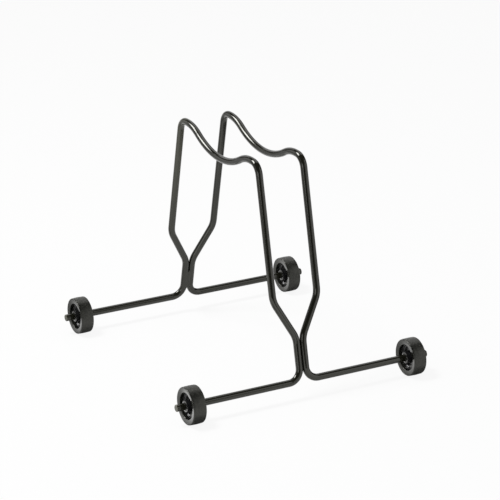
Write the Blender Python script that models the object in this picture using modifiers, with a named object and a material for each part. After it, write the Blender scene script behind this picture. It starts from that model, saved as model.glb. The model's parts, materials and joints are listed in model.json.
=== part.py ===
"""A rolling floor rack that holds one bicycle wheel upright.

Two round rods are each bent into one hoop, from an axle tip along the floor, up a short neck,
out into a V, up a leaning upright, over a saddle-shaped top and down the other end the same way.
The hoops stand side by side and are welded at their necks. Each floor leg ends in the axle of a
small wheel: a moulded core in a rubber tyre, held between two push-on retainers.

X runs across the rack, Y along it with the front at -Y, and Z up from the floor. The origin is on
the floor, midway between the four wheels. Sizes are in metres.
"""

import math

import bmesh
import bpy
from mathutils import Matrix, Vector

# Frame
ROD_DIAMETER = 0.009525
WHEELBASE = 0.3452  # front axle to rear axle
TRACK = 0.3275  # middle of a left wheel to middle of a right wheel
OVERALL_HEIGHT = 0.3141  # floor to the top of the crests
SADDLE_DROP = 0.0231  # crests down to the middle of the top
SLOT_WIDTH = 0.0559  # clear width between the uprights
NECK_LENGTH = 0.0576  # axle to the corner where the V opens, along the lean
V_LENGTH = 0.0528  # that corner to the one where the uprights start, along the lean
END_LEAN = math.radians(12.5)  # how far each end leans in towards the middle
AXLE_STUB = 0.0124  # bare rod outside the outer retainer
TIP_CHAMFER = 0.0004

# Bends, at the rod's centre line
FLOOR_BEND_RADIUS = 0.017
V_BOTTOM_BEND_RADIUS = 0.034
V_TOP_BEND_RADIUS = 0.034
CORNER_BEND_RADIUS = 0.0176
CREST_BEND_RADIUS = 0.0655
BLEND_SLOPE = math.radians(4.5)  # slope of the top where the corner bend runs into the crest bend

# Welds, in the groove between two necks, on the side that faces the middle of the rack
WELD_WIDTH = 0.0058
WELD_PROUD = 0.0002  # its crown outside the rods
WELD_NOTCH_RUN = 0.004  # how far it runs down past the end of the floor bends
WELD_TOP_DISTANCE = 0.0146  # its upper end below the corner where the V opens

# Tyre
TYRE_DIAMETER = 0.0508
TYRE_WIDTH = 0.0185
TREAD_FLAT_WIDTH = 0.0043
TYRE_CROWN = 0.0004  # flat of the tread above the start of the shoulders
SHOULDER_RADIUS = 0.0019
SIDE_RING_WIDTH = 0.0075  # tread down to the mouth of the recess
SIDE_DISH = 0.0009  # the side falls back this much from shoulder to mouth
MOUTH_CHAMFER = 0.0004
TREAD_THICKNESS = 0.0065  # tread down to the groove that holds the rim
LIP_GRIP = 0.0015  # how far the tyre's lips reach in over the rim

# Wheel core
RIM_WIDTH = 0.0068
RIM_WALL = 0.0024
WEB_THICKNESS = 0.0028
HUB_WALL = 0.0024
HUB_PROUD = 0.00015  # hub end outside the tyre's side
HUB_CHAMFER = 0.0004
MOULD_DRAFT = 0.0005  # how much the hub and rim thicken towards the web

# Push-on retainers
RETAINER_WIDTH = 0.0024  # bore to outer edge
RETAINER_THICKNESS = 0.0006
TANG_LENGTH = 0.0013
TANG_RISE = 0.0006  # the tangs' tips stand this far off the flat flange
TANG_COUNT = 6
TANG_SLOT_WIDTH = 0.0011

# Between pieces that touch or run in each other
SEAT_GAP = 0.0003

# Fineness of the round shapes
CHORD_ERROR = 0.00015  # how far a straight step may cut inside a bend
ROD_SIDES = 16
WELD_SIDES = 12
WHEEL_STEPS = 30
RETAINER_STEPS = 18
SHARP_ANGLE = math.radians(32)

ROD_RADIUS = ROD_DIAMETER / 2
AXLE_HEIGHT = TYRE_DIAMETER / 2
NECK_OFFSET = (ROD_DIAMETER + SEAT_GAP) / 2
UPRIGHT_OFFSET = SLOT_WIDTH / 2 + ROD_RADIUS
BORE_RADIUS = ROD_RADIUS + SEAT_GAP
HUB_HALF_LENGTH = TYRE_WIDTH / 2 + HUB_PROUD
GROOVE_RADIUS = TYRE_DIAMETER / 2 - TREAD_THICKNESS
RETAINER_SEAT = HUB_HALF_LENGTH + SEAT_GAP
TIP_DISTANCE = TRACK / 2 + RETAINER_SEAT + RETAINER_THICKNESS + AXLE_STUB


def clear_scene():
    for obj in list(bpy.data.objects):
        bpy.data.objects.remove(obj, do_unlink=True)


def new_collection(name):
    collection = bpy.data.collections.new(name)
    bpy.context.scene.collection.children.link(collection)
    return collection


def new_material(name, colour, roughness, metallic=0.0):
    material = bpy.data.materials.new(name)
    material.use_nodes = True
    surface = material.node_tree.nodes["Principled BSDF"]
    surface.inputs["Base Color"].default_value = (*colour, 1.0)
    surface.inputs["Roughness"].default_value = roughness
    surface.inputs["Metallic"].default_value = metallic
    return material


def evaluated_mesh(obj, name):
    """The shape that an object's modifiers or curve settings give it, as a mesh of its own."""
    graph = bpy.context.evaluated_depsgraph_get()
    mesh = bpy.data.meshes.new_from_object(obj.evaluated_get(graph))
    mesh.name = name
    return mesh


def rounded_path(corners, bend_radii):
    """The corners joined by straights, with each inner corner replaced by a bend of its radius."""
    points = [corners[0]]
    for before, corner, after, radius in zip(corners, corners[1:], corners[2:], bend_radii):
        heading = (corner - before).normalized()
        turn = heading.angle(after - corner)
        axis = heading.cross(after - corner).normalized()
        bend_start = corner - heading * radius * math.tan(turn / 2)
        centre = bend_start + axis.cross(heading) * radius
        steps = math.ceil(turn / (2 * math.acos(1 - CHORD_ERROR / radius)))
        for step in range(steps + 1):
            point = centre + Matrix.Rotation(turn * step / steps, 3, axis) @ (bend_start - centre)
            if (point - points[-1]).length > CHORD_ERROR:
                points.append(point)
    return points + [corners[-1]]


def rod_curve(name, points, radius, sides, tapered_ends=()):
    """A round rod through the points. tapered_ends holds (index of a point, share of the radius)."""
    curve = bpy.data.curves.new(name, "CURVE")
    curve.dimensions = "3D"
    curve.bevel_depth = radius
    curve.bevel_resolution = sides // 2 - 2
    curve.use_fill_caps = True
    spline = curve.splines.new("POLY")
    spline.points.add(len(points) - 1)
    for spline_point, point in zip(spline.points, points):
        spline_point.co = (*point, 1.0)
    for index, share in tapered_ends:
        spline.points[index].radius = share
    return bpy.data.objects.new(name, curve)


def lean_frame(end):
    """Foot, direction up the lean, and direction to the rack's middle, at the rear (1) or front (-1)."""
    foot = Vector((0, end * WHEELBASE / 2, AXLE_HEIGHT))
    up_lean = Vector((0, -end * math.sin(END_LEAN), math.cos(END_LEAN)))
    inward = Vector((0, -end * math.cos(END_LEAN), -math.sin(END_LEAN)))
    return foot, up_lean, inward


def lower_corners(side, end):
    """Corners of one lower end of a hoop: floor, neck, bottom of the V and top of the V."""
    foot, up_lean, _ = lean_frame(end)
    at_neck = Vector((side * NECK_OFFSET, 0, 0))
    at_upright = Vector((side * UPRIGHT_OFFSET, 0, 0))
    tip = foot + Vector((side * TIP_DISTANCE, 0, 0))
    return [
        tip,
        foot + at_neck,
        foot + at_neck + up_lean * NECK_LENGTH,
        foot + at_upright + up_lean * (NECK_LENGTH + V_LENGTH),
    ]


def top_corners():
    """Corners (distance from the middle, height) of half the top, and the bend radius of the saddle.

    From the upright the corner bend runs into the crest bend, and the crest bend runs straight
    into the saddle bend, which is level at the middle of the rack.
    """
    crest_height = OVERALL_HEIGHT - ROD_RADIUS
    corner_turn = math.pi / 2 - END_LEAN - BLEND_SLOPE
    corner_setback = CORNER_BEND_RADIUS * math.tan(corner_turn / 2)
    out_to_blend = CREST_BEND_RADIUS * math.sin(BLEND_SLOPE)
    down_to_blend = CREST_BEND_RADIUS * (1 - math.cos(BLEND_SLOPE))

    corner_height = crest_height - down_to_blend - corner_setback * math.sin(BLEND_SLOPE)
    corner_distance = WHEELBASE / 2 - (corner_height - AXLE_HEIGHT) * math.tan(END_LEAN)
    blend_distance = corner_distance - corner_setback * math.cos(BLEND_SLOPE)
    crest_distance = blend_distance - out_to_blend

    slope = 2 * math.atan(SADDLE_DROP / crest_distance)
    saddle_radius = crest_distance / math.sin(slope) - CREST_BEND_RADIUS
    crest_setback = CREST_BEND_RADIUS * math.tan((BLEND_SLOPE + slope) / 2)
    return [
        (corner_distance, corner_height),
        (
            blend_distance - crest_setback * math.cos(BLEND_SLOPE),
            crest_height - down_to_blend + crest_setback * math.sin(BLEND_SLOPE),
        ),
        (saddle_radius * math.tan(slope / 2), crest_height - SADDLE_DROP),
    ], saddle_radius


def hoop_path(side):
    """Centre line of the hoop on the right (1) or left (-1), from the rear tip to the front tip."""
    half_top, saddle_radius = top_corners()
    x = side * UPRIGHT_OFFSET
    rear = lower_corners(side, 1) + [Vector((x, y, z)) for y, z in half_top]
    front = lower_corners(side, -1) + [Vector((x, -y, z)) for y, z in half_top]
    half_radii = [
        FLOOR_BEND_RADIUS,
        V_BOTTOM_BEND_RADIUS,
        V_TOP_BEND_RADIUS,
        CORNER_BEND_RADIUS,
        CREST_BEND_RADIUS,
        saddle_radius,
    ]
    return rounded_path(rear + front[::-1], half_radii + half_radii[::-1])


def make_hoop(name, side, paint, parts):
    path = hoop_path(side)
    chamfer = Vector((side * TIP_CHAMFER, 0, 0))
    points = [path[0], path[0] - chamfer, *path[1:-1], path[-1] - chamfer, path[-1]]
    tip_share = 1 - TIP_CHAMFER / ROD_RADIUS
    hoop = rod_curve(name, points, ROD_RADIUS, ROD_SIDES, [(0, tip_share), (-1, tip_share)])
    hoop.data.materials.append(paint)
    parts.objects.link(hoop)


def bead_mesh(name, end, cutters):
    """A round-ended bead along the groove between two necks, before the rods are cut from it."""
    foot, up_lean, inward = lean_frame(end)
    radius = WELD_WIDTH / 2
    start = foot + inward * (ROD_RADIUS + WELD_PROUD - radius)
    low = FLOOR_BEND_RADIUS - WELD_NOTCH_RUN
    high = NECK_LENGTH - WELD_TOP_DISTANCE
    rounding = [math.radians(angle) for angle in (15, 45, 75)]
    along = [low + radius * (1 - math.cos(angle)) for angle in rounding]
    along += [high - radius * (1 - math.cos(angle)) for angle in reversed(rounding)]
    shares = [math.sin(angle) for angle in rounding + rounding[::-1]]
    points = [start + up_lean * distance for distance in along]
    bead = rod_curve(name, points, radius, WELD_SIDES, enumerate(shares))
    cutters.objects.link(bead)
    mesh = evaluated_mesh(bead, name)
    bpy.data.objects.remove(bead)
    weld_caps(mesh)
    return mesh


def neck_cutter(name, side, end, cutters):
    """One neck with its bends, thicker than the rod by the gap."""
    corners = lower_corners(side, end)
    path = rounded_path(corners, [FLOOR_BEND_RADIUS, V_BOTTOM_BEND_RADIUS])
    neck = rod_curve(name, path, ROD_RADIUS + SEAT_GAP, ROD_SIDES)
    cutters.objects.link(neck)
    mesh = evaluated_mesh(neck, name)
    bpy.data.objects.remove(neck)
    weld_caps(mesh)
    cutter = bpy.data.objects.new(name, mesh)
    cutter.hide_render = True
    cutter.display_type = "WIRE"
    cutters.objects.link(cutter)
    return cutter


def weld_caps(mesh):
    """Joins the loose caps that a curve's mesh has to its sides."""
    shape = bmesh.new()
    shape.from_mesh(mesh)
    bmesh.ops.remove_doubles(shape, verts=shape.verts, dist=SEAT_GAP / 100)
    shape.to_mesh(mesh)
    shape.free()


def make_weld(name, end, paint, parts, cutters):
    mesh = bead_mesh(name, end, cutters)
    mesh.materials.append(paint)
    weld = bpy.data.objects.new(name, mesh)
    parts.objects.link(weld)
    for side, side_name in ((-1, "left"), (1, "right")):
        cut = weld.modifiers.new(f"Fit to {side_name} neck", "BOOLEAN")
        cut.object = neck_cutter(f"{name}_{side_name}_neck_cutter", side, end, cutters)
        cut.operation = "DIFFERENCE"
        cut.solver = "EXACT"


def arc(centre, radius, start, end, steps):
    """Points on an arc in a section. Angles are measured from straight out to straight up."""
    angles = [start + (end - start) * step / steps for step in range(steps + 1)]
    return [(centre[0] + radius * math.cos(a), centre[1] + radius * math.sin(a)) for a in angles]


def both_halves(upper_half):
    """A closed section from its upper half, which runs from the bore up, out and down to the middle."""
    return upper_half + [(radius, -height) for radius, height in reversed(upper_half)]


def turned_mesh(name, section, steps, parts):
    """A closed section of (radius, height) points turned about Z.

    The flats, not the corners, lie at the section's radii, and the middle of a flat faces along X.
    """
    shape = bmesh.new()
    corner = 1 / math.cos(math.pi / steps)
    facing = Matrix.Rotation(math.pi / steps, 3, "Z")
    points = [shape.verts.new(facing @ Vector((r * corner, 0, z))) for r, z in section]
    for first, second in zip(points, points[1:] + points[:1]):
        shape.edges.new((first, second))
    profile = bpy.data.meshes.new(f"{name}_section")
    shape.to_mesh(profile)
    shape.free()
    blank = bpy.data.objects.new(name, profile)
    parts.objects.link(blank)
    turn = blank.modifiers.new("Turn", "SCREW")
    turn.steps = steps
    turn.render_steps = steps
    turn.use_merge_vertices = True
    turn.merge_threshold = 0.00001
    mesh = evaluated_mesh(blank, name)
    bpy.data.objects.remove(blank)
    bpy.data.meshes.remove(profile)
    return mesh


def shade_round(mesh):
    mesh.shade_smooth()
    mesh.set_sharp_from_angle(angle=SHARP_ANGLE)


def tyre_mesh(rubber, parts):
    """A ring with a crowned tread, round shoulders, dished sides and a groove that grips the rim."""
    half_width = TYRE_WIDTH / 2
    shoulder_height = half_width - SHOULDER_RADIUS
    crown_radius = (shoulder_height**2 + TYRE_CROWN**2) / (2 * TYRE_CROWN)
    crown_centre = TYRE_DIAMETER / 2 - crown_radius
    reach = crown_radius - SHOULDER_RADIUS
    shoulder_centre = crown_centre + math.sqrt(reach**2 - shoulder_height**2)
    tread_slope = math.asin(shoulder_height / reach)
    lip_radius = GROOVE_RADIUS - LIP_GRIP
    mouth_radius = TYRE_DIAMETER / 2 - SIDE_RING_WIDTH
    groove_height = RIM_WIDTH / 2 + SEAT_GAP
    upper_half = [
        (GROOVE_RADIUS, groove_height),
        (lip_radius, groove_height),
        (mouth_radius, half_width - SIDE_DISH - MOUTH_CHAMFER),
        (mouth_radius + MOUTH_CHAMFER, half_width - SIDE_DISH),
        *arc((shoulder_centre, shoulder_height), SHOULDER_RADIUS, math.pi / 2, tread_slope, 3),
        (TYRE_DIAMETER / 2, TREAD_FLAT_WIDTH / 2),
    ]
    mesh = turned_mesh("tyre", both_halves(upper_half), WHEEL_STEPS, parts)
    mesh.materials.append(rubber)
    shade_round(mesh)
    return mesh


def core_mesh(plastic, parts):
    """Hub tube, web and rim in one moulding, with draft towards the web."""
    hub_radius = BORE_RADIUS + HUB_WALL
    rim_radius = GROOVE_RADIUS - SEAT_GAP
    rim_inner_radius = rim_radius - RIM_WALL
    upper_half = [
        (BORE_RADIUS, HUB_HALF_LENGTH),
        (hub_radius - HUB_CHAMFER, HUB_HALF_LENGTH),
        (hub_radius, HUB_HALF_LENGTH - HUB_CHAMFER),
        (hub_radius + MOULD_DRAFT, WEB_THICKNESS / 2),
        (rim_inner_radius - MOULD_DRAFT, WEB_THICKNESS / 2),
        (rim_inner_radius, RIM_WIDTH / 2),
        (rim_radius, RIM_WIDTH / 2),
    ]
    mesh = turned_mesh("core", both_halves(upper_half), WHEEL_STEPS, parts)
    mesh.materials.append(plastic)
    shade_round(mesh)
    return mesh


def tang_slot_cutter(cutters):
    """One box for each slot, from inside the bore to the root of the tangs."""
    inner = BORE_RADIUS - RETAINER_THICKNESS
    outer = BORE_RADIUS + TANG_LENGTH
    height = 4 * (TANG_RISE + RETAINER_THICKNESS)
    shape = bmesh.new()
    for slot in range(TANG_COUNT):
        turn = Matrix.Rotation(2 * math.pi * slot / TANG_COUNT, 4, "Z")
        move = Matrix.Translation(((inner + outer) / 2, 0, 0))
        size = Matrix.Diagonal((outer - inner, TANG_SLOT_WIDTH, height, 1))
        bmesh.ops.create_cube(shape, size=1, matrix=turn @ move @ size)
    mesh = bpy.data.meshes.new("tang_slot_cutter")
    shape.to_mesh(mesh)
    shape.free()
    cutter = bpy.data.objects.new("tang_slot_cutter", mesh)
    cutter.hide_render = True
    cutter.display_type = "WIRE"
    cutters.objects.link(cutter)
    return cutter


def retainer_mesh(steel, parts, cutters):
    """A flat flange whose inner edge is bent up into spring tangs. It seats on z = 0."""
    tang_root = BORE_RADIUS + TANG_LENGTH
    flange_edge = BORE_RADIUS + RETAINER_WIDTH
    section = [
        (BORE_RADIUS, TANG_RISE),
        (BORE_RADIUS, TANG_RISE + RETAINER_THICKNESS),
        (tang_root, RETAINER_THICKNESS),
        (flange_edge, RETAINER_THICKNESS),
        (flange_edge, 0),
        (tang_root, 0),
    ]
    blank = bpy.data.objects.new("retainer", turned_mesh("blank", section, RETAINER_STEPS, parts))
    parts.objects.link(blank)
    cut = blank.modifiers.new("Tang slots", "BOOLEAN")
    cut.object = tang_slot_cutter(cutters)
    cut.operation = "DIFFERENCE"
    cut.solver = "EXACT"
    mesh = evaluated_mesh(blank, "retainer")
    bpy.data.objects.remove(blank)
    mesh.materials.append(steel)
    shade_round(mesh)
    return mesh


def place(name, mesh, axle, parts, height=0.0, faces_inward=False):
    """A copy of a mesh on a wheel's axle, at a height along the axle outward from the wheel."""
    piece = bpy.data.objects.new(name, mesh)
    piece.parent = axle
    piece.location = (0, 0, height)
    if faces_inward:
        piece.rotation_euler = (math.pi, 0, 0)
    parts.objects.link(piece)


def make_wheel(position, side, end, tyre, core, retainer, parts):
    """One wheel and its two retainers, on an empty whose Z axis points out along the axle."""
    axle = bpy.data.objects.new(f"{position}_axle", None)
    axle.location = (side * TRACK / 2, end * WHEELBASE / 2, AXLE_HEIGHT)
    axle.rotation_euler = (0, side * math.pi / 2, 0)
    parts.objects.link(axle)
    place(f"{position}_tyre", tyre, axle, parts)
    place(f"{position}_core", core, axle, parts)
    place(f"{position}_outer_retainer", retainer, axle, parts, RETAINER_SEAT)
    place(f"{position}_inner_retainer", retainer, axle, parts, -RETAINER_SEAT, faces_inward=True)


def build():
    clear_scene()
    parts = new_collection("bicycle_rack")
    cutters = new_collection("cutters")
    paint = new_material("frame_paint", (0.052, 0.052, 0.042), 0.32, 0.35)
    rubber = new_material("tyre_rubber", (0.055, 0.056, 0.052), 0.62)
    plastic = new_material("core_plastic", (0.012, 0.012, 0.013), 0.28)
    steel = new_material("spring_steel", (0.20, 0.20, 0.19), 0.35, 0.9)

    for name, side in (("left_hoop", -1), ("right_hoop", 1)):
        make_hoop(name, side, paint, parts)
    for name, end in (("rear_weld", 1), ("front_weld", -1)):
        make_weld(name, end, paint, parts, cutters)

    tyre = tyre_mesh(rubber, parts)
    core = core_mesh(plastic, parts)
    retainer = retainer_mesh(steel, parts, cutters)
    for end_name, end in (("rear", 1), ("front", -1)):
        for side_name, side in (("left", -1), ("right", 1)):
            make_wheel(f"{end_name}_{side_name}", side, end, tyre, core, retainer, parts)


build()
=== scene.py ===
"""The finished look of a rolling floor rack for one bicycle wheel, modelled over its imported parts.

Two bent rods, the weld beads in the groove between their necks, and four small wheels, each a
rubber tyre on a moulded core between two push-on rings. X runs across the rack, Y along it with
the front at -Y, and Z up from the floor. Sizes are in metres.
"""

import json
import math

import bmesh
import bpy
from bpy.props import FloatProperty, FloatVectorProperty, IntProperty, PointerProperty
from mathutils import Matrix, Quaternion, Vector


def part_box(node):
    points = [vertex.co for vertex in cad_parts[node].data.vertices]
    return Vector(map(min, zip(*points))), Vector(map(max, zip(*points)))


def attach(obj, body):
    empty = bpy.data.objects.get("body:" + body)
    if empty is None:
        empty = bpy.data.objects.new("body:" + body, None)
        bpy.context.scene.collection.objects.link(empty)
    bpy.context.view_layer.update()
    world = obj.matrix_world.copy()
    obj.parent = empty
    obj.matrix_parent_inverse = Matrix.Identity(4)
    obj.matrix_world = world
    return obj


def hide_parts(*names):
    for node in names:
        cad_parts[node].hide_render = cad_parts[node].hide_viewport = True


bl_info = {
    "name": "Bicycle floor rack",
    "version": (1, 0, 0),
    "blender": (4, 5, 0),
    "location": "3D View > Sidebar > Floor rack",
    "description": "Models and lights a rolling floor rack for one bicycle wheel",
    "category": "Object",
}

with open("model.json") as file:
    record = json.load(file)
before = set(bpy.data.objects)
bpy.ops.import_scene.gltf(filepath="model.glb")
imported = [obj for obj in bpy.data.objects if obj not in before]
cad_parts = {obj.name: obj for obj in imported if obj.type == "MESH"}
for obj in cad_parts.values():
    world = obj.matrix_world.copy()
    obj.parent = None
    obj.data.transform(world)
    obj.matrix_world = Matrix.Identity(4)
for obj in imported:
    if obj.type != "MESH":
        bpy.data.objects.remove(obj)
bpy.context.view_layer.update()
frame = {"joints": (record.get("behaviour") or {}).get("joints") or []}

FRONT, REAR = -1, 1
LEFT, RIGHT = -1, 1
END_NAMES = {REAR: "rear", FRONT: "front"}
SIDE_NAMES = {LEFT: "left", RIGHT: "right"}

REAR_RIGHT_AXLE = Vector(
    next(j["pos_m"] for j in frame["joints"] if j["name"] == "rear_right_wheel_spin")
)
HOOP_LOW, HOOP_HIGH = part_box("right_hoop")
TYRE_LOW, TYRE_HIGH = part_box("rear_right_tyre")
CORE_LOW, CORE_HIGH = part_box("rear_right_core")
RING_LOW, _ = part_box("rear_right_outer_retainer")
WELD_LOW, WELD_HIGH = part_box("rear_weld")


class RackSizes(bpy.types.PropertyGroup):
    """Sizes of the two bent rods and of the weld beads between them."""

    rod_diameter: FloatProperty(
        name="Rod diameter",
        description="Thickness of the round rod",
        default=2 * (REAR_RIGHT_AXLE.z - HOOP_LOW.z),
        unit="LENGTH",
    )
    tip_distance: FloatProperty(
        name="Tip distance",
        description="Middle of the rack to the end of an axle",
        default=HOOP_HIGH.x,
        unit="LENGTH",
    )
    height: FloatProperty(
        name="Height",
        description="Floor to the top of the crests",
        default=HOOP_HIGH.z,
        unit="LENGTH",
    )
    saddle_drop: FloatProperty(
        name="Saddle drop",
        description="Crests down to the middle of the top",
        default=0.0231,
        unit="LENGTH",
    )
    slot_width: FloatProperty(
        name="Slot width",
        description="Clear width between the uprights",
        default=0.0559,
        unit="LENGTH",
    )
    neck_length: FloatProperty(
        name="Neck length",
        description="Axle to the corner where the V opens, along the lean",
        default=0.0576,
        unit="LENGTH",
    )
    v_length: FloatProperty(
        name="V length",
        description="Lower corner of the V to its upper corner, along the lean",
        default=0.0528,
        unit="LENGTH",
    )
    end_lean: FloatProperty(
        name="End lean",
        description="How far each end leans in towards the middle",
        default=math.radians(12.5),
        subtype="ANGLE",
    )
    floor_bend: FloatProperty(
        name="Floor bend",
        description="Bend radius between the floor leg and the neck, at the middle of the rod",
        default=0.017,
        unit="LENGTH",
    )
    v_bend: FloatProperty(
        name="V bend",
        description="Bend radius at both corners of the V, at the middle of the rod",
        default=0.034,
        unit="LENGTH",
    )
    corner_bend: FloatProperty(
        name="Corner bend",
        description="Bend radius between the upright and the top, at the middle of the rod",
        default=0.0176,
        unit="LENGTH",
    )
    crest_bend: FloatProperty(
        name="Crest bend",
        description="Bend radius over each crest, at the middle of the rod",
        default=0.0655,
        unit="LENGTH",
    )
    blend_slope: FloatProperty(
        name="Blend slope",
        description="Slope of the top where the corner bend runs into the crest bend",
        default=math.radians(4.5),
        subtype="ANGLE",
    )
    tip_chamfer: FloatProperty(
        name="Tip chamfer",
        description="Chamfer round each cut end of the rod",
        default=0.0005,
        unit="LENGTH",
    )
    bend_step: FloatProperty(
        name="Bend step",
        description="Turn between two rings of points in a bend",
        default=math.radians(3),
        subtype="ANGLE",
    )
    rod_sides: IntProperty(
        name="Rod sides",
        description="Points round the rod",
        default=40,
        min=8,
    )
    weld_width: FloatProperty(
        name="Weld width",
        description="Width of a weld bead across the groove",
        default=0.0084,
        unit="LENGTH",
    )
    weld_depth: FloatProperty(
        name="Weld depth",
        description="Thickness of a weld bead, from the groove out",
        default=0.0056,
        unit="LENGTH",
    )
    weld_proud: FloatProperty(
        name="Weld crown",
        description="How far a weld bead stands outside the rods",
        default=0.0001,
        unit="LENGTH",
    )


class WheelSizes(bpy.types.PropertyGroup):
    """Sizes of the tyres, the cores and the push-on rings."""

    tyre_width: FloatProperty(
        name="Tyre width",
        description="Width of a tyre",
        default=TYRE_HIGH.x - TYRE_LOW.x,
        unit="LENGTH",
    )
    shoulder_radius: FloatProperty(
        name="Shoulder radius",
        description="Rounding between the tread and the side",
        default=0.0019,
        unit="LENGTH",
    )
    crown: FloatProperty(
        name="Crown",
        description="Middle of the tread above the start of the shoulders",
        default=0.0004,
        unit="LENGTH",
    )
    side_ring: FloatProperty(
        name="Side ring",
        description="Tread down to the mouth of the recess",
        default=0.0075,
        unit="LENGTH",
    )
    side_dish: FloatProperty(
        name="Side dish",
        description="How far the side falls back from the shoulder to the mouth",
        default=0.0009,
        unit="LENGTH",
    )
    groove_depth: FloatProperty(
        name="Groove depth",
        description="Tread down to the groove that holds the rim",
        default=0.0065,
        unit="LENGTH",
    )
    lip_grip: FloatProperty(
        name="Lip grip",
        description="How far the lips of the tyre reach in over the rim",
        default=0.0015,
        unit="LENGTH",
    )
    rim_width: FloatProperty(
        name="Rim width",
        description="Width of the rim of the core",
        default=0.0068,
        unit="LENGTH",
    )
    rim_wall: FloatProperty(
        name="Rim wall",
        description="Thickness of the rim of the core",
        default=0.0024,
        unit="LENGTH",
    )
    web_thickness: FloatProperty(
        name="Web thickness",
        description="Thickness of the disc between the hub and the rim",
        default=0.0028,
        unit="LENGTH",
    )
    hub_length: FloatProperty(
        name="Hub length",
        description="Length of the hub tube",
        default=CORE_HIGH.x - CORE_LOW.x,
        unit="LENGTH",
    )
    hub_wall: FloatProperty(
        name="Hub wall",
        description="Thickness of the hub tube",
        default=0.0024,
        unit="LENGTH",
    )
    draft: FloatProperty(
        name="Draft",
        description="How much the hub and the rim thicken towards the web",
        default=0.0005,
        unit="LENGTH",
    )
    fit_gap: FloatProperty(
        name="Fit gap",
        description="Gap between pieces that sit in or run on each other",
        default=0.0003,
        unit="LENGTH",
    )
    ring_width: FloatProperty(
        name="Ring width",
        description="Bore to outer edge of a push-on ring",
        default=0.0024,
        unit="LENGTH",
    )
    ring_thickness: FloatProperty(
        name="Ring thickness",
        description="Sheet thickness of a push-on ring",
        default=0.0006,
        unit="LENGTH",
    )
    tang_length: FloatProperty(
        name="Tang length",
        description="Length of the spring tangs round the bore of a push-on ring",
        default=0.0013,
        unit="LENGTH",
    )
    tang_count: IntProperty(
        name="Tangs",
        description="Number of spring tangs round the bore of a push-on ring",
        default=6,
        min=3,
    )
    turn_steps: IntProperty(
        name="Turning steps",
        description="Steps round a wheel",
        default=120,
        min=24,
    )


class FinishColours(bpy.types.PropertyGroup):
    """Colours of the four finishes."""

    paint: FloatVectorProperty(
        name="Paint",
        description="Dark olive grey paint of the rods and the weld beads",
        default=(0.0105, 0.0105, 0.007),
        subtype="COLOR",
        min=0,
        max=1,
    )
    rubber: FloatVectorProperty(
        name="Rubber",
        description="Black rubber of the tyres",
        default=(0.0115, 0.0118, 0.0098),
        subtype="COLOR",
        min=0,
        max=1,
    )
    plastic: FloatVectorProperty(
        name="Plastic",
        description="Glossy black plastic of the cores",
        default=(0.012, 0.012, 0.0125),
        subtype="COLOR",
        min=0,
        max=1,
    )
    steel: FloatVectorProperty(
        name="Steel",
        description="Dull spring steel of the push-on rings",
        default=(0.12, 0.12, 0.115),
        subtype="COLOR",
        min=0,
        max=1,
    )


class StageSettings(bpy.types.PropertyGroup):
    """Camera, floor and studio light."""

    lens: FloatProperty(
        name="Lens",
        description="Focal length of the camera, in millimetres",
        default=176.58,
    )
    azimuth: FloatProperty(
        name="Azimuth",
        description="Turn of the camera round the rack from its front, to the right",
        default=math.radians(-27.8275),
        subtype="ANGLE",
    )
    elevation: FloatProperty(
        name="Elevation",
        description="Height of the camera as an angle",
        default=math.radians(20.762),
        subtype="ANGLE",
    )
    roll: FloatProperty(
        name="Roll",
        description="Turn of the camera about its own view",
        default=math.radians(-0.3311),
        subtype="ANGLE",
    )
    distance: FloatProperty(
        name="Distance",
        description="Camera to the point that it looks at",
        default=3.34656,
        unit="LENGTH",
    )
    target: FloatVectorProperty(
        name="Target",
        description="Point that the camera looks at",
        default=(0.02916, 0.03122, 0.13414),
        subtype="TRANSLATION",
    )
    floor_size: FloatProperty(
        name="Floor size",
        description="Length of one side of the floor",
        default=12.0,
        unit="LENGTH",
    )
    dark_right: FloatVectorProperty(
        name="Dark right corner",
        description="Gloss mirrors no white floor to the right of and behind this point",
        default=(0.245, -0.35),
        size=2,
        subtype="TRANSLATION",
    )
    dark_front: FloatVectorProperty(
        name="Dark front corner",
        description="Gloss mirrors no white floor to the left of and in front of this point",
        default=(0.45, -0.95),
        size=2,
        subtype="TRANSLATION",
    )
    floor_white: FloatProperty(
        name="Floor white",
        description="Share of the floor that is plain white to the camera, the rest shows shadow",
        default=0.9,
    )
    far_white: FloatProperty(
        name="Far white",
        description="Brightness of the white floor far from the rack that gloss mirrors",
        default=1.4,
    )
    near_white: FloatProperty(
        name="Near white",
        description="Brightness of the white floor beside each wheel that gloss mirrors",
        default=1.9,
    )
    room_level: FloatProperty(
        name="Room level",
        description="Brightness of the even light from all round",
        default=0.42,
    )
    dark_level: FloatProperty(
        name="Dark level",
        description="Brightness of the dark parts of the room that gloss mirrors",
        default=0.03,
    )
    key_level: FloatProperty(
        name="Key level",
        description="Brightness of the main softbox that gloss mirrors",
        default=16.0,
    )
    softbox_radiance: FloatProperty(
        name="Softbox brightness",
        description="Brightness of the softbox over the rack",
        default=37.0,
    )
    softbox_width: FloatProperty(
        name="Softbox width",
        description="Diameter of the softbox",
        default=0.68,
        unit="LENGTH",
    )
    softbox_place: FloatVectorProperty(
        name="Softbox place",
        description="Middle of the softbox",
        default=(-1.06, 0.28, 2.5),
        subtype="TRANSLATION",
    )


# Modelling by hand

MERGE_DISTANCE = 1e-5
SHARP_ANGLE = math.radians(35)
FACING_X = (0, math.pi / 2, 0)


def pick(piece):
    """Selects one piece alone and makes it active."""
    bpy.ops.object.select_all(action="DESELECT")
    piece.select_set(True)
    bpy.context.view_layer.objects.active = piece


def start_edit(piece):
    """Opens one piece alone for editing."""
    pick(piece)
    bpy.ops.object.mode_set(mode="EDIT")


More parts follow.
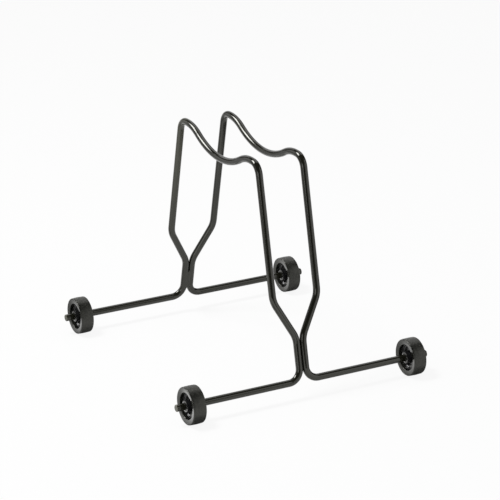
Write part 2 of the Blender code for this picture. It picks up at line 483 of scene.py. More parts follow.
def start_circle(name, sides, radius, place, rotation, fill="NGON"):
    """A new circle, selected and open for editing."""
    bpy.ops.object.select_all(action="DESELECT")
    bpy.ops.mesh.primitive_circle_add(
        vertices=sides, radius=radius, fill_type=fill, location=place, rotation=rotation
    )
    piece = bpy.context.object
    piece.name = name
    bpy.ops.object.mode_set(mode="EDIT")
    return piece


def select_points(chosen):
    """Selects the points of the piece in edit mode for which chosen(point) is true."""
    piece = bpy.context.edit_object
    shape = bmesh.from_edit_mesh(piece.data)
    shape.select_mode = {"VERT"}
    for point in shape.verts:
        point.select_set(bool(chosen(piece.matrix_world @ point.co)))
    shape.select_flush_mode()
    bmesh.update_edit_mesh(piece.data)


def feed(move):
    """Extrudes the selection along a move."""
    bpy.ops.mesh.extrude_region_move(TRANSFORM_OT_translate={"value": move})


def swing(centre, axis, turn, steps):
    """Extrudes the selection round an axis. The spin tool turns against the right-hand rule."""
    bpy.ops.mesh.spin(steps=steps, angle=-turn, center=centre, axis=axis)


def grow(share, centre):
    """Scales the selection about a point."""
    bpy.ops.transform.resize(value=share, center_override=centre)


def end_edit():
    """Turns every face out and leaves edit mode, with the piece's place kept in its mesh."""
    bpy.ops.mesh.select_all(action="SELECT")
    bpy.ops.mesh.normals_make_consistent(inside=False)
    bpy.ops.object.mode_set(mode="OBJECT")
    bpy.ops.object.transform_apply(location=True, rotation=True, scale=True)


def close_shape():
    """Merges doubles and ends the edit."""
    bpy.ops.mesh.select_all(action="SELECT")
    bpy.ops.mesh.remove_doubles(threshold=MERGE_DISTANCE)
    end_edit()


def add_modifier(piece, kind, **settings):
    """Adds a modifier to the active piece, sets it and applies it."""
    bpy.ops.object.modifier_add(type=kind)
    modifier = piece.modifiers[-1]
    for name, value in settings.items():
        setattr(modifier, name, value)
    bpy.ops.object.modifier_apply(modifier=modifier.name)


def shade_round():
    """Shades the active piece smooth, but for its sharp edges."""
    bpy.ops.object.shade_smooth_by_angle(angle=SHARP_ANGLE)


def copy_piece(piece, name):
    """A copy of the piece with a mesh of its own, left active and selected."""
    pick(piece)
    bpy.ops.object.duplicate(linked=False)
    twin = bpy.context.object
    twin.name = name
    twin.data.name = name
    return twin


def hand_over(piece, material, body, node):
    """Gives a finished piece its material and its body, and hides the imported node that it stands
    for.
    """
    piece.data.materials.clear()
    piece.data.materials.append(material)
    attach(piece, body)
    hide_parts(node)


# The two bent rods


def lean_frame(sizes, end):
    """Foot, direction up the lean, and direction to the rack's middle, at one end."""
    foot = Vector((0, end * REAR_RIGHT_AXLE.y, REAR_RIGHT_AXLE.z))
    up_lean = Vector((0, -end * math.sin(sizes.end_lean), math.cos(sizes.end_lean)))
    inward = Vector((0, -end * math.cos(sizes.end_lean), -math.sin(sizes.end_lean)))
    return foot, up_lean, inward


def lower_corners(sizes, side, end):
    """Corners of one lower end of a rod: tip, floor, bottom of the V and top of the V."""
    foot, up_lean, _ = lean_frame(sizes, end)
    radius = sizes.rod_diameter / 2
    at_neck = Vector((side * radius, 0, 0))
    at_upright = Vector((side * (sizes.slot_width / 2 + radius), 0, 0))
    return [
        foot + Vector((side * sizes.tip_distance, 0, 0)),
        foot + at_neck,
        foot + at_neck + up_lean * sizes.neck_length,
        foot + at_upright + up_lean * (sizes.neck_length + sizes.v_length),
    ]


def top_corners(sizes):
    """Corners (distance from the middle, height) of half the top, and the saddle's bend radius.

    From the upright the corner bend runs into the crest bend, and the crest bend runs straight
    into the saddle bend, which is level at the middle of the rack.
    """
    lean = sizes.end_lean
    blend = sizes.blend_slope
    crest_height = sizes.height - sizes.rod_diameter / 2
    corner_setback = sizes.corner_bend * math.tan((math.pi / 2 - lean - blend) / 2)
    down_to_blend = sizes.crest_bend * (1 - math.cos(blend))

    corner_height = crest_height - down_to_blend - corner_setback * math.sin(blend)
    corner_distance = REAR_RIGHT_AXLE.y - (corner_height - REAR_RIGHT_AXLE.z) * math.tan(lean)
    blend_distance = corner_distance - corner_setback * math.cos(blend)
    crest_distance = blend_distance - sizes.crest_bend * math.sin(blend)

    slope = 2 * math.atan(sizes.saddle_drop / crest_distance)
    saddle_bend = crest_distance / math.sin(slope) - sizes.crest_bend
    crest_setback = sizes.crest_bend * math.tan((blend + slope) / 2)
    return [
        (corner_distance, corner_height),
        (
            blend_distance - crest_setback * math.cos(blend),
            crest_height - down_to_blend + crest_setback * math.sin(blend),
        ),
        (saddle_bend * math.tan(slope / 2), crest_height - sizes.saddle_drop),
    ], saddle_bend


def rod_corners(sizes, side):
    """All corners of a rod from the rear tip to the front tip, and the bend radius at each."""
    half_top, saddle_bend = top_corners(sizes)
    x = side * (sizes.slot_width + sizes.rod_diameter) / 2
    rear = lower_corners(sizes, side, REAR) + [Vector((x, y, z)) for y, z in half_top]
    front = lower_corners(sizes, side, FRONT) + [Vector((x, -y, z)) for y, z in half_top]
    half_bends = [
        sizes.floor_bend,
        sizes.v_bend,
        sizes.v_bend,
        sizes.corner_bend,
        sizes.crest_bend,
        saddle_bend,
    ]
    return rear + front[::-1], half_bends + half_bends[::-1]


def bend_rod(sizes, name, side):
    """One rod, fed and bent ring by ring from its rear tip to its front tip."""
    corners, bends = rod_corners(sizes, side)
    radius = sizes.rod_diameter / 2
    chamfer = Vector((-side * sizes.tip_chamfer, 0, 0))
    tip_share = 1 - sizes.tip_chamfer / radius
    rod = start_circle(name, sizes.rod_sides, radius * tip_share, corners[0], FACING_X)
    feed(chamfer)
    position = corners[0] + chamfer
    grow((1, 1 / tip_share, 1 / tip_share), position)

    for before, corner, after, bend in zip(corners, corners[1:], corners[2:], bends):
        heading = (corner - before).normalized()
        leaving = (after - corner).normalized()
        turn = heading.angle(leaving)
        axis = heading.cross(leaving).normalized()
        setback = bend * math.tan(turn / 2)
        bend_start = corner - heading * setback
        if (bend_start - position).length > sizes.tip_chamfer / 2:
            feed(bend_start - position)
        swing(bend_start + axis.cross(heading) * bend, axis, turn, math.ceil(turn / sizes.bend_step))
        position = corner + leaving * setback

    feed(corners[-1] + chamfer - position)
    feed(-chamfer)
    grow((1, tip_share, tip_share), corners[-1])
    close_shape()
    shade_round()
    return rod


class RACK_OT_bend_rods(bpy.types.Operator):
    """Bend the two rods of the rack from tip to tip"""

    bl_idname = "rack.bend_rods"
    bl_label = "Bend rods"

    def execute(self, context):
        sizes = context.scene.rack_sizes
        paint = paint_finish(context.scene.rack_colours)
        for side, side_name in SIDE_NAMES.items():
            rod = bend_rod(sizes, f"{side_name}_bent_rod", side)
            hand_over(rod, paint, "frame", f"{side_name}_hoop")
        return {"FINISHED"}


# The weld beads

BEAD_SIDES = 32
BEAD_END_ANGLES = (10, 25, 40, 55, 70, 90)


def lay_weld(sizes, name, end):
    """A smooth bead with round ends, laid up the groove on the side that faces the middle.

    Both ends are fed in rings, each at one of the angles round the end, in degrees.
    """
    foot, up_lean, inward = lean_frame(sizes, end)
    half_depth = sizes.weld_depth / 2
    width_share = sizes.weld_width / sizes.weld_depth
    crown = sizes.rod_diameter / 2 + sizes.weld_proud
    low = (WELD_LOW.z - REAR_RIGHT_AXLE.z) / up_lean.z
    high = (WELD_HIGH.z - REAR_RIGHT_AXLE.z) / up_lean.z
    middle = foot + inward * (crown - half_depth)
    start = middle + up_lean * low

    weld = start_circle(name, BEAD_SIDES, half_depth, start, (end * sizes.end_lean, 0, 0))
    grow((width_share, 1, 1), start)
    rounding = [math.radians(angle) for angle in BEAD_END_ANGLES]
    stations = [(low + half_depth * (1 - math.cos(a)), math.sin(a)) for a in rounding]
    stations += [(high - half_depth * (1 - math.cos(a)), math.sin(a)) for a in rounding[::-1]]
    grow((stations[0][1],) * 3, start)
    reached, share = stations[0]
    for along, next_share in stations[1:]:
        feed(up_lean * (along - reached))
        grow((next_share / share,) * 3, middle + up_lean * (low + along - stations[0][0]))
        reached, share = along, next_share
    close_shape()
    shade_round()
    return weld


class RACK_OT_lay_welds(bpy.types.Operator):
    """Lay the two weld beads that join the necks of the rods"""

    bl_idname = "rack.lay_welds"
    bl_label = "Lay weld beads"

    def execute(self, context):
        sizes = context.scene.rack_sizes
        paint = paint_finish(context.scene.rack_colours)
        for end, end_name in END_NAMES.items():
            weld = lay_weld(sizes, f"{end_name}_weld_bead", end)
            hand_over(weld, paint, "frame", f"{end_name}_weld")
        return {"FINISHED"}


# The wheels, each turned about X at the origin and then set on its axle

START_FACE = 0.001
ROUNDING_STEPS = 6

# Roundings of the tyre, from the groove for the rim out to the tread
LIP_ROUNDING = 0.0003
MOUTH_ROUNDING = 0.0004
SIDE_ROUNDING = 0.0005
TREAD_ROUNDING = 0.002
CROWN_ROUNDING = 0.001
CROWN_HALF_WIDTH = 0.0012

# Roundings and fillets of the core, from the bore out to the rim
BORE_ROUNDING = 0.0002
HUB_ROUNDING = 0.0005
HUB_FILLET = 0.0012
RIM_FILLET = 0.0013
RIM_ROUNDING = 0.0005
SEAT_ROUNDING = 0.0003

# The push-on ring: how its tangs rise toward the bore, and the slots between them
TANG_SIDES = 12
TANG_BEND_SHARE = 0.5
TANG_RISE_SHARE = 0.45
TANG_ROOT_RISE = 0.00005
TANG_ROOT_BEND = 0.0002
SLOT_HALF_STEPS = 1.1
RING_EDGE_BEVEL = 0.00012


def turn_half(name, section, steps):
    """Half a wheel piece, turned about X from a section that starts and ends at the middle plane.

    The section is a list of (distance from the axle, distance from the middle, rounding). It
    grows from one point, which is a small face merged to its middle.
    """
    places = [Vector((across, 0, out)) for out, across, _ in section]
    bpy.ops.object.select_all(action="DESELECT")
    bpy.ops.mesh.primitive_plane_add(size=START_FACE, location=places[0])
    piece = bpy.context.object
    piece.name = name
    bpy.ops.object.mode_set(mode="EDIT")
    bpy.ops.mesh.merge(type="CENTER")
    for here, there in zip(places, places[1:]):
        feed(there - here)
    for place, (_, _, rounding) in zip(places, section):
        if rounding:
            select_points(lambda point: (point - place).length < MERGE_DISTANCE)
            bpy.ops.mesh.bevel(offset=rounding, segments=ROUNDING_STEPS, affect="VERTICES")
    bpy.ops.mesh.select_all(action="SELECT")
    bpy.ops.mesh.spin(
        steps=steps, angle=math.tau, use_auto_merge=True, center=(0, 0, 0), axis=(1, 0, 0)
    )
    close_shape()
    return piece


def mirror_half(piece):
    """Adds the other half of a turned piece, across its middle plane."""
    add_modifier(piece, "MIRROR", use_axis=(True, False, False), merge_threshold=MERGE_DISTANCE)
    start_edit(piece)
    close_shape()
    shade_round()


def turn_tyre(wheel):
    """A rubber ring with a crowned tread, round shoulders, dished sides and a groove for the rim."""
    outer = REAR_RIGHT_AXLE.z
    half_width = wheel.tyre_width / 2
    groove = outer - wheel.groove_depth
    groove_half = wheel.rim_width / 2 + wheel.fit_gap
    lip = groove - wheel.lip_grip
    mouth = outer - wheel.side_ring
    shoulder_start = half_width - wheel.shoulder_radius
    shoulder_foot = outer - wheel.shoulder_radius
    section = [
        (groove, 0, 0),
        (groove, groove_half, 0),
        (lip, groove_half, LIP_ROUNDING),
        (mouth, half_width - wheel.side_dish, MOUTH_ROUNDING),
        (shoulder_foot, half_width, SIDE_ROUNDING),
        (outer - wheel.crown, half_width, wheel.shoulder_radius - wheel.crown),
        (outer - wheel.crown / 4, shoulder_start / 2, TREAD_ROUNDING),
        (outer, CROWN_HALF_WIDTH, CROWN_ROUNDING),
        (outer, 0, 0),
    ]
    tyre = turn_half("turned_tyre", section, wheel.turn_steps)
    mirror_half(tyre)
    return tyre


def turn_core(wheel):
    """Hub tube, web and rim in one moulding, with draft and with fillets where they meet."""
    bore = REAR_RIGHT_AXLE.z - HOOP_LOW.z + wheel.fit_gap
    hub = bore + wheel.hub_wall
    hub_half = wheel.hub_length / 2
    rim = REAR_RIGHT_AXLE.z - wheel.groove_depth - wheel.fit_gap
    rim_inner = rim - wheel.rim_wall
    web_half = wheel.web_thickness / 2
    section = [
        (bore, 0, 0),
        (bore, hub_half, BORE_ROUNDING),
        (hub, hub_half, HUB_ROUNDING),
        (hub + wheel.draft, web_half, HUB_FILLET),
        (rim_inner - wheel.draft, web_half, RIM_FILLET),
        (rim_inner, wheel.rim_width / 2, RIM_ROUNDING),
        (rim, wheel.rim_width / 2, SEAT_ROUNDING),
        (rim, 0, 0),
    ]
    core = turn_half("turned_core", section, wheel.turn_steps)
    mirror_half(core)
    return core


def press_ring(wheel):
    """A flat spring ring with tangs bent up round its bore. It seats on x = 0 and faces +X."""
    bore = REAR_RIGHT_AXLE.z - HOOP_LOW.z + wheel.fit_gap
    root = bore + wheel.tang_length
    edge = bore + wheel.ring_width
    tang_rise = wheel.ring_thickness
    bends = [
        (bore + wheel.tang_length * TANG_BEND_SHARE, tang_rise * TANG_RISE_SHARE),
        (root, TANG_ROOT_RISE),
        (root + TANG_ROOT_BEND, 0),
        (edge, 0),
    ]
    sides = TANG_SIDES * wheel.tang_count
    ring = start_circle("pressed_ring", sides, bore, (tang_rise, 0, 0), FACING_X, fill="NOTHING")
    reached, height = bore, tang_rise
    for out, next_height in bends:
        feed((next_height - height, 0, 0))
        grow((1, out / reached, out / reached), (next_height, 0, 0))
        reached, height = out, next_height

    slot_turn = math.tau / wheel.tang_count
    half_slot = math.tau / sides * SLOT_HALF_STEPS

    def in_slot(point):
        turn = (math.atan2(point.z, point.y) + half_slot) % slot_turn
        return turn < 2 * half_slot and math.hypot(point.y, point.z) < root + MERGE_DISTANCE

    select_points(in_slot)
    bpy.ops.mesh.delete(type="ONLY_FACE")
    bpy.ops.mesh.select_all(action="DESELECT")
    bpy.ops.mesh.select_loose()
    bpy.ops.mesh.delete(type="EDGE")
    end_edit()
    add_modifier(ring, "SOLIDIFY", thickness=wheel.ring_thickness, offset=1)
    start_edit(ring)
    close_shape()
    add_modifier(ring, "BEVEL", width=RING_EDGE_BEVEL, segments=2, limit_method="ANGLE")
    shade_round()
    return ring


def set_on_axle(piece, side, end, along=0.0, facing=1):
    """Moves a piece to its axle, at a distance out along it, and keeps the place in its mesh."""
    piece.rotation_euler = (0, 0, 0 if side * facing > 0 else math.pi)
    piece.location = (side * (REAR_RIGHT_AXLE.x + along), end * REAR_RIGHT_AXLE.y, REAR_RIGHT_AXLE.z)
    bpy.ops.object.transform_apply(location=True, rotation=True, scale=True)


def wheel_positions():
    """Name, side and end of each wheel."""
    for end, end_name in END_NAMES.items():
        for side, side_name in SIDE_NAMES.items():
            yield f"{end_name}_{side_name}", side, end


def fit_wheels(pattern, look, material, node):
    """Fits a copy of a turned piece to each axle, on the body of its wheel."""
    for position, side, end in wheel_positions():
        piece = copy_piece(pattern, f"{position}_{look}")
        set_on_axle(piece, side, end)
        hand_over(piece, material, f"{position}_wheel", f"{position}_{node}")
    bpy.data.objects.remove(pattern)


class RACK_OT_mould_tyres(bpy.types.Operator):
    """Mould the rubber tyre once and fit a copy to each wheel"""

    bl_idname = "rack.mould_tyres"
    bl_label = "Mould tyres"

    def execute(self, context):
        wheel = context.scene.rack_wheels
        tyre = turn_tyre(wheel)
        shoulder_foot = REAR_RIGHT_AXLE.z - wheel.shoulder_radius
        rubber = rubber_finish(context.scene.rack_colours, shoulder_foot)
        fit_wheels(tyre, "rubber_tyre", rubber, "tyre")
        return {"FINISHED"}


class RACK_OT_mould_cores(bpy.types.Operator):
    """Mould the wheel core once and fit a copy to each wheel"""

    bl_idname = "rack.mould_cores"
    bl_label = "Mould cores"

    def execute(self, context):
        core = turn_core(context.scene.rack_wheels)
        plastic = plastic_finish(context.scene.rack_colours)
        fit_wheels(core, "moulded_core", plastic, "core")
        return {"FINISHED"}


class RACK_OT_press_rings(bpy.types.Operator):
    """Press the push-on ring once and fit a copy at both ends of each hub"""

    bl_idname = "rack.press_rings"
    bl_label = "Press push-on rings"

    def execute(self, context):
        pattern = press_ring(context.scene.rack_wheels)
        steel = steel_finish(context.scene.rack_colours)
        seat = RING_LOW.x - REAR_RIGHT_AXLE.x
        for position, side, end in wheel_positions():
            for place, facing in (("outer", 1), ("inner", -1)):
                ring = copy_piece(pattern, f"{position}_{place}_push_ring")
                set_on_axle(ring, side, end, facing * seat, facing)
                hand_over(ring, steel, "frame", f"{position}_{place}_retainer")
        bpy.data.objects.remove(pattern)
        return {"FINISHED"}


# Finishes

# How far from each tip the rougher cut end with its painted highlight starts and ends, and where the
# painted light on the rear left upright lies
CUT_START = 0.00095
CUT_END = 0.00025
PALE_LOW, PALE_HIGH = 0.08, 0.3
PALE_FRONT_END = 0.095
PALE_RIGHT_END = -0.01

# Width of the change from the tyre's side to its tread, and marks in each metre
TREAD_EDGE = 0.0013
TYRE_MARKS_OUT = 2400.0
TYRE_MARKS_ACROSS = 900.0
BRUSH_MARKS = 9000.0


class Signal:
    """One shader socket, which takes part in sums as a number does."""

    def __init__(self, nodes, socket):
        self.nodes = nodes
        self.socket = socket

    def math(self, operation, *values):
        inputs = dict(enumerate(values))
        return self.nodes.add("ShaderNodeMath", {"operation": operation}, inputs)

    def __add__(self, other):
        return self.math("ADD", self, other)

    def __radd__(self, other):
        return self.math("ADD", other, self)

    def __sub__(self, other):
        return self.math("SUBTRACT", self, other)

    def __rsub__(self, other):
        return self.math("SUBTRACT", other, self)

    def __mul__(self, other):
        return self.math("MULTIPLY", self, other)

    def __rmul__(self, other):
        return self.math("MULTIPLY", other, self)

    def __abs__(self):
        return self.math("ABSOLUTE", self)

    def length_with(self, other):
        """The hypotenuse of this and another value."""
        squares = self * self + other * other
        return squares.math("SQRT", squares)

    def highest(self, other):
        return self.math("MAXIMUM", self, other)

    def fade(self, low, high, from_value=0.0, to_value=1.0):
        """A smooth step from one value to another as this runs from low to high."""
        settings = {"interpolation_type": "SMOOTHSTEP"}
        inputs = {0: self, 1: low, 2: high, 3: from_value, 4: to_value}
        return self.nodes.add("ShaderNodeMapRange", settings, inputs)

    def after(self, edge, softness):
        """1 above an edge and 0 below it, with a smooth step between."""
        return self.fade(edge - softness, edge + softness)

    def before(self, edge, softness):
        """1 below an edge and 0 above it, with a smooth step between."""
        return 1 - self.after(edge, softness)


class Nodes:
    """The node tree of a material or of the world, built by expressions."""

    def __init__(self, owner):
        owner.use_nodes = True
        self.tree = owner.node_tree
        self.tree.nodes.clear()

    def add(self, kind, settings=None, inputs=None, output=0):
        """Adds a node, sets it, feeds its sockets, and gives one of its outputs."""
        node = self.tree.nodes.new(kind)
        for name, value in (settings or {}).items():
            setattr(node, name, value)
        for name, value in (inputs or {}).items():
            if isinstance(value, Signal):
                self.tree.links.new(value.socket, node.inputs[name])
            else:
                node.inputs[name].default_value = value
        return Signal(self, node.outputs[output]) if node.outputs else None

    def coordinates(self, kind="Object"):
        return self.add("ShaderNodeTexCoord", output=kind)

    def parts(self, vector):
        """The X, Y and Z of a vector."""
        return [self.add("ShaderNodeSeparateXYZ", inputs={0: vector}, output=i) for i in range(3)]

    def noise(self, vector, scale, detail=2.0):
        inputs = {"Vector": vector, "Scale": scale, "Detail": detail}
        return self.add("ShaderNodeTexNoise", inputs=inputs)

    def marks(self, distance):
        """Noise that changes with one distance only."""
        settings = {"noise_dimensions": "1D"}
        return self.add("ShaderNodeTexNoise", settings, {"W": distance, "Scale": 1.0, "Detail": 2.0})

    def mix(self, factor, first, second):
        """A colour between two colours."""
        settings = {"data_type": "RGBA"}
        return self.add("ShaderNodeMix", settings, {0: factor, 6: first, 7: second}, output=2)

    def vary(self, pattern, base, dark, light):
        """A base colour, times dark where a pattern is 0 and times light where it is 1."""
        return self.mix(pattern, colour(base, dark), colour(base, light))

    def cover(self, tone, mask, base, light, share):
        """A tone, covered where a mask is 1 by a share of a base colour times light."""
        return self.mix(mask * share, tone, colour(base, light))

    def bump(self, height, depth):
        """The normal of a surface raised by a height of 0 to 1 times a depth."""
        inputs = {"Height": height, "Distance": depth, "Strength": 1.0}
        return self.add("ShaderNodeBump", inputs=inputs)

    def surface(self, shader):
        self.add("ShaderNodeOutputMaterial", inputs={"Surface": shader})

    def principled(self, inputs):
        """Ends a material with one Principled shader."""
        self.surface(self.add("ShaderNodeBsdfPrincipled", inputs=inputs))


def colour(values, share=1.0):
    """A colour for a socket, made lighter or darker by a share."""
    return (*(share * value for value in values), 1.0)


def paint_finish(colours):
    """Semi-gloss paint over drawn rod: orange peel, faint mottling, and rougher cut ends painted
    paler as a painted highlight.

    The rear left upright is painted paler toward its top, as painted light.
    """
    material = bpy.data.materials.get("dark_olive_paint")
    if material:
        return material
    material = bpy.data.materials.new("dark_olive_paint")
    nodes = Nodes(material)
    place = nodes.coordinates()
    x, y, z = nodes.parts(place)
    mottle = nodes.noise(place, scale=70.0, detail=3.0)
    grain = nodes.noise(place, scale=900.0)
    peel = nodes.noise(place, scale=450.0, detail=1.0)
    # Cut ends: rougher, and painted paler as a painted highlight for the light that the end faces
    # catch.
    cut_end_and_highlight = abs(x).fade(HOOP_HIGH.x - CUT_START, HOOP_HIGH.x - CUT_END)
    # Painted light: the rear left upright, lighter toward its top.
    upright_painted_light = z.fade(PALE_LOW, PALE_HIGH)
    upright_painted_light *= y.after(PALE_FRONT_END, softness=0.025) * x.before(PALE_RIGHT_END, softness=0.02)
    tone = nodes.vary(mottle.fade(0.3, 0.7), colours.paint, dark=0.9, light=1.1)
    tone = nodes.cover(tone, grain.fade(0.55, 0.75), colours.paint, light=1.5, share=0.25)
    # Painted light: the rear left upright made paler toward its top.
    tone = nodes.cover(tone, upright_painted_light, colours.paint, light=6.0, share=0.7)
    # Painted highlight: the cut end faces made paler.
    tone = nodes.cover(tone, cut_end_and_highlight, colours.paint, light=8.0, share=0.8)
    nodes.principled({
        "Base Color": tone,
        "Roughness": 0.08 + mottle * 0.05 + cut_end_and_highlight * 0.2,
        "IOR": 1.6,
        "Specular Tint": (1.0, 1.0, 0.93, 1.0),
        "Normal": nodes.bump(peel + grain * 0.25, depth=0.00002),
    })
    return material


def wheel_place(nodes):
    """Distances from the axle and from the wheel's middle, the same for all four wheels."""
    x, y, z = nodes.parts(nodes.coordinates())
    across = abs(abs(x) - REAR_RIGHT_AXLE.x)
    along = abs(y) - REAR_RIGHT_AXLE.y
    up = z - REAR_RIGHT_AXLE.z
    return along.length_with(up), across


def rubber_finish(colours, shoulder_foot):
    """Matte rubber with a fine mould texture, smoother on the side than on the tread.

    The tread's texture starts where the shoulder does, at its foot's distance from the axle.
    """
    material = bpy.data.materials.new("tyre_rubber")
    nodes = Nodes(material)
    place = nodes.coordinates()
    out, across = wheel_place(nodes)
    on_tread = out.fade(shoulder_foot, shoulder_foot + TREAD_EDGE)
    cloud = nodes.noise(place, scale=420.0, detail=3.0)
    speckle = nodes.noise(place, scale=1400.0)
    rings = nodes.marks(out * TYRE_MARKS_OUT + across * TYRE_MARKS_ACROSS)
    mottle = cloud * 0.7 + rings * 0.3
    tone = nodes.vary(mottle.fade(0.38, 0.62), colours.rubber, dark=0.35, light=1.7)
    tone = nodes.cover(tone, speckle.fade(0.5, 0.8), colours.rubber, light=2.2, share=0.35)
    relief = speckle * (0.5 + on_tread) + cloud * on_tread * 2.0 + rings * 0.5
    nodes.principled({
        "Base Color": tone,
        "Roughness": 0.13 + on_tread * 0.23 + cloud * 0.06,
        "IOR": 1.58,
        "Specular Tint": (1.0, 1.0, 0.92, 1.0),
        "Normal": nodes.bump(relief, depth=0.00003),
    })
    return material


def plastic_finish(colours):
    """Glossy black moulding with faint flow marks."""
    material = bpy.data.materials.new("black_core_plastic")
    nodes = Nodes(material)
    place = nodes.coordinates()
    flow = nodes.noise(place, scale=260.0, detail=3.0)
    fine = nodes.noise(place, scale=1500.0, detail=1.0)
    nodes.principled({
        "Base Color": nodes.vary(flow.fade(0.3, 0.7), colours.plastic, dark=0.8, light=1.3),
        "Roughness": 0.08 + flow * 0.08,
        "IOR": 1.5,
        "Normal": nodes.bump(flow + fine * 0.2, depth=0.00002),
    })
    return material


def steel_finish(colours):
    """Dull spring steel, brushed in rings, with cloudy tarnish."""
    material = bpy.data.materials.new("spring_steel")
    nodes = Nodes(material)
    place = nodes.coordinates()
    out, _ = wheel_place(nodes)
    tarnish = nodes.noise(place, scale=400.0, detail=3.0)
    rings = nodes.marks(out * BRUSH_MARKS)
    nodes.principled({
        "Base Color": nodes.vary(tarnish.fade(0.3, 0.7), colours.steel, dark=0.75, light=1.2),
        "Metallic": 0.9,
        "Roughness": 0.14 + rings * 0.08,
        "Normal": nodes.bump(rings + tarnish * 0.3, depth=0.00001),
    })
    return material


# Stage

WHITE = (1, 1, 1)

# The floor that gloss mirrors: where its dark parts start and end, and how dark they are
RIGHT_REAR_END = 0.05
BACK_START = 0.2
BACK_RIGHT_END = -0.07
BACK_SLANT = 0.25
BACK_DARKNESS = 0.55
LEFT_START = -0.85
LEFT_DARKNESS = 0.45

# The shade under each wheel and the bright strip beside it, by distances from below its middle
SHADE_SHIFT = (0.008, -0.02)
SHADE_RADIUS = 0.022
FRONT_SHADE, REAR_SHADE = 0.65, 0.42
STRIP_SHIFT = (-0.0192, 0.07)
STRIP_HALF_WIDTH = 0.019
STRIP_HALF_LENGTH = 0.0575
LEFT_STRIP, RIGHT_STRIP = 1.0, 0.6

# Distance from the rack's middle at which front has changed to rear, or left to right
CHANGE_END = 0.1

# How much of the mirrored floor shines by itself near the rack, and how much more far from it
FAR_START = 0.4
NEAR_SHINE = 0.05
FAR_SHINE = 0.6


def ray_is(nodes, kind):
    """1 for rays of one kind, such as Is Camera Ray."""
    return nodes.add("ShaderNodeLightPath", output=kind)


def dark_studio(stage, x, y):
    """Where gloss mirrors the dark of the studio in the floor: right, front, back and left."""
    right = x.after(stage.dark_right[0], softness=0.075) * y.after(stage.dark_right[1], softness=0.1)
    right *= y.before(RIGHT_REAR_END, softness=0.05)
    front = y.before(stage.dark_front[1], softness=0.05) * x.before(stage.dark_front[0], softness=0.1)
    back = y.after(BACK_START, softness=0.1) * BACK_DARKNESS
    back *= (x + y * BACK_SLANT).before(BACK_RIGHT_END, softness=0.05)
    left = x.before(LEFT_START, softness=0.25) * LEFT_DARKNESS
    return right.highest(front).highest(back).highest(left)


def from_wheels(x, y, shift):
    """Distances along X and Y from the spots that lie at a shift from below each wheel."""
    return abs(x - shift[0]) - REAR_RIGHT_AXLE.x, abs(y - shift[1]) - REAR_RIGHT_AXLE.y


def wheel_shade(x, y):
    """The shade that gloss mirrors on the floor under each wheel, deeper at the front."""
    across, along = from_wheels(x, y, SHADE_SHIFT)
    round_wheel = across.length_with(along).before(SHADE_RADIUS, softness=0.012)
    return round_wheel * y.fade(-CHANGE_END, CHANGE_END, FRONT_SHADE, REAR_SHADE)


def wheel_strip(x, y):
    """The bright strip that gloss mirrors on the floor beside each wheel, weaker on the right."""
    across, along = from_wheels(x, y, STRIP_SHIFT)
    strip = abs(across).before(STRIP_HALF_WIDTH, softness=0.009)
    strip *= abs(along).before(STRIP_HALF_LENGTH, softness=0.0175)
    return strip * x.fade(-CHANGE_END, CHANGE_END, LEFT_STRIP, RIGHT_STRIP)


def lay_floor(stage):
    """A wide pale floor, white to the camera but for the rack's soft shadow.

    Gloss and glass mirror more in it: the dark of the studio, a shade under each wheel, a bright
    strip beside each wheel, and a brighter floor far from the rack.
    """
    bpy.ops.object.select_all(action="DESELECT")
    bpy.ops.mesh.primitive_plane_add(size=stage.floor_size)
    floor = bpy.context.object
    floor.name = "studio_floor"
    material = bpy.data.materials.new("white_floor")
    nodes = Nodes(material)
    place = nodes.coordinates()
    x, y, _ = nodes.parts(place)
    dark = dark_studio(stage, x, y).highest(wheel_shade(x, y))
    strip = wheel_strip(x, y)
    far = x.length_with(y).after(FAR_START, softness=0.2)
    mirrored = ray_is(nodes, "Is Glossy Ray").highest(ray_is(nodes, "Is Transmission Ray"))
    dim = colour(WHITE, stage.dark_level)
    grain = nodes.noise(place, scale=40.0, detail=3.0)
    tone = nodes.vary(grain, WHITE, dark=0.92, light=0.95)
    tone = nodes.mix(mirrored * dark, tone, dim)
    lit = nodes.add("ShaderNodeBsdfDiffuse", inputs={"Color": tone})
    seen = nodes.mix(mirrored, colour(WHITE), colour(WHITE, stage.far_white))
    seen = nodes.mix(mirrored * strip, seen, colour(WHITE, stage.near_white))
    seen = nodes.mix(mirrored * dark, seen, dim)
    white = nodes.add("ShaderNodeEmission", inputs={"Color": seen})
    share = mirrored * (NEAR_SHINE + far.highest(strip) * FAR_SHINE)
    share += ray_is(nodes, "Is Camera Ray") * stage.floor_white
    nodes.surface(nodes.add("ShaderNodeMixShader", inputs={0: share, 1: lit, 2: white}))
    floor.data.materials.append(material)


def panel(across, up, middle, size, level, softness=4.0):
    """Brightness of one soft panel in the room, placed and sized in degrees."""
    beside = abs(across - middle[0]) - size[0] / 2
    above = abs(up - middle[1]) - size[1] / 2
    return beside.before(0, softness) * above.before(0, softness) * level


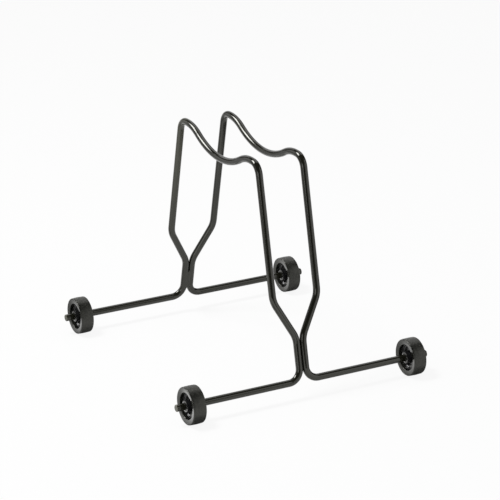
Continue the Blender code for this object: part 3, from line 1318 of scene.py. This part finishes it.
def light_room(stage):
    """Even soft light, and for gloss a dark room with the panels that the paint mirrors.

    Panels in front are placed from the front of the room and panels at the back from its back,
    both to the right, and all of them from the horizon up.
    """
    world = bpy.data.worlds.new("studio")
    bpy.context.scene.world = world
    nodes = Nodes(world)
    x, y, z = nodes.parts(nodes.coordinates("Generated"))
    front = x.math("ARCTAN2", x, 0 - y) * math.degrees(1)
    back = x.math("ARCTAN2", x, y) * math.degrees(1)
    up = z.math("ARCSINE", z) * math.degrees(1)
    key = panel(back, up, middle=(-46, 45), size=(32, 25), level=stage.key_level)
    low_left = panel(front, up, middle=(-66, 5), size=(32, 28), level=1.8)
    front_right = panel(front, up, middle=(51, 22), size=(50, 52), level=1.05)
    front_middle = panel(front, up, middle=(13, 12), size=(18, 36), level=0.8)
    back_wall = panel(back, up, middle=(0, 10), size=(76, 40), level=0.85, softness=6.0)
    back_left = panel(back, up, middle=(-64, 10), size=(52, 44), level=0.35, softness=6.0)
    high_right = panel(back, up, middle=(42, 50), size=(52, 50), level=1.05, softness=6.0)
    high_left = panel(back, up, middle=(-14, 66), size=(50, 34), level=0.5, softness=6.0)
    gap = panel(back, up, middle=(-14, 20), size=(15, 56), level=1.0, softness=6.0)
    behind = back_wall.highest(back_left).highest(high_right).highest(high_left) * (1 - gap)
    room = key + low_left + front_right.highest(front_middle) + behind
    mirrored = ray_is(nodes, "Is Glossy Ray")
    level = mirrored * (room + stage.dark_level) + (1 - mirrored) * stage.room_level
    level = level.highest(ray_is(nodes, "Is Camera Ray"))
    white = {"Color": colour(WHITE), "Strength": level}
    background = nodes.add("ShaderNodeBackground", inputs=white)
    nodes.add("ShaderNodeOutputWorld", inputs={"Surface": background})


def hang_softbox(stage):
    """A round softbox over the rack, to the left."""
    place = Vector(stage.softbox_place)
    bpy.ops.object.select_all(action="DESELECT")
    bpy.ops.object.light_add(type="AREA", location=place)
    softbox = bpy.context.object
    softbox.name = "softbox"
    softbox.rotation_euler = place.to_track_quat("Z", "Y").to_euler()
    softbox.data.shape = "DISK"
    softbox.data.size = stage.softbox_width
    area = math.pi * (stage.softbox_width / 2) ** 2
    softbox.data.energy = stage.softbox_radiance * math.pi * area
    softbox.visible_camera = False
    softbox.visible_glossy = False


def place_camera(stage):
    """The camera at the photographed angle."""
    level = math.cos(stage.elevation)
    back = Vector(
        (
            math.sin(stage.azimuth) * level,
            -math.cos(stage.azimuth) * level,
            math.sin(stage.elevation),
        )
    )
    bpy.ops.object.select_all(action="DESELECT")
    bpy.ops.object.camera_add(location=Vector(stage.target) + back * stage.distance)
    camera = bpy.context.object
    camera.name = "camera"
    aim = back.to_track_quat("Z", "Y") @ Quaternion((0, 0, 1), stage.roll)
    camera.rotation_euler = aim.to_euler()
    camera.data.lens = stage.lens
    camera.data.sensor_width = 36.0
    camera.data.clip_end = 50.0
    bpy.context.scene.camera = camera


class RACK_OT_set_stage(bpy.types.Operator):
    """Lay the floor, light the room and place the camera"""

    bl_idname = "rack.set_stage"
    bl_label = "Set stage"

    def execute(self, context):
        stage = context.scene.rack_stage
        lay_floor(stage)
        light_room(stage)
        hang_softbox(stage)
        place_camera(stage)
        context.scene.view_settings.view_transform = "Standard"
        return {"FINISHED"}


class RACK_PT_sidebar(bpy.types.Panel):
    """The steps that make the rack, in order"""

    bl_idname = "RACK_PT_sidebar"
    bl_label = "Floor rack"
    bl_space_type = "VIEW_3D"
    bl_region_type = "UI"
    bl_category = "Floor rack"

    def draw(self, context):
        column = self.layout.column()
        for step in STEPS:
            column.operator(step.bl_idname)
        for settings in SETTINGS:
            group = getattr(context.scene, settings)
            column.label(text=group.bl_rna.description)
            for name in group.__annotations__:
                column.prop(group, name)


STEPS = (
    RACK_OT_bend_rods,
    RACK_OT_lay_welds,
    RACK_OT_mould_tyres,
    RACK_OT_mould_cores,
    RACK_OT_press_rings,
    RACK_OT_set_stage,
)
SETTINGS = {
    "rack_sizes": RackSizes,
    "rack_wheels": WheelSizes,
    "rack_colours": FinishColours,
    "rack_stage": StageSettings,
}


def register():
    for cls in (*SETTINGS.values(), *STEPS, RACK_PT_sidebar):
        bpy.utils.register_class(cls)
    for name, group in SETTINGS.items():
        setattr(bpy.types.Scene, name, PointerProperty(type=group))


def unregister():
    for name in SETTINGS:
        delattr(bpy.types.Scene, name)
    for cls in (RACK_PT_sidebar, *reversed(STEPS), *SETTINGS.values()):
        bpy.utils.unregister_class(cls)


def main():
    register()
    bpy.ops.rack.bend_rods()
    bpy.ops.rack.lay_welds()
    bpy.ops.rack.mould_tyres()
    bpy.ops.rack.mould_cores()
    bpy.ops.rack.press_rings()
    bpy.ops.rack.set_stage()


if __name__ == "__main__":
    main()
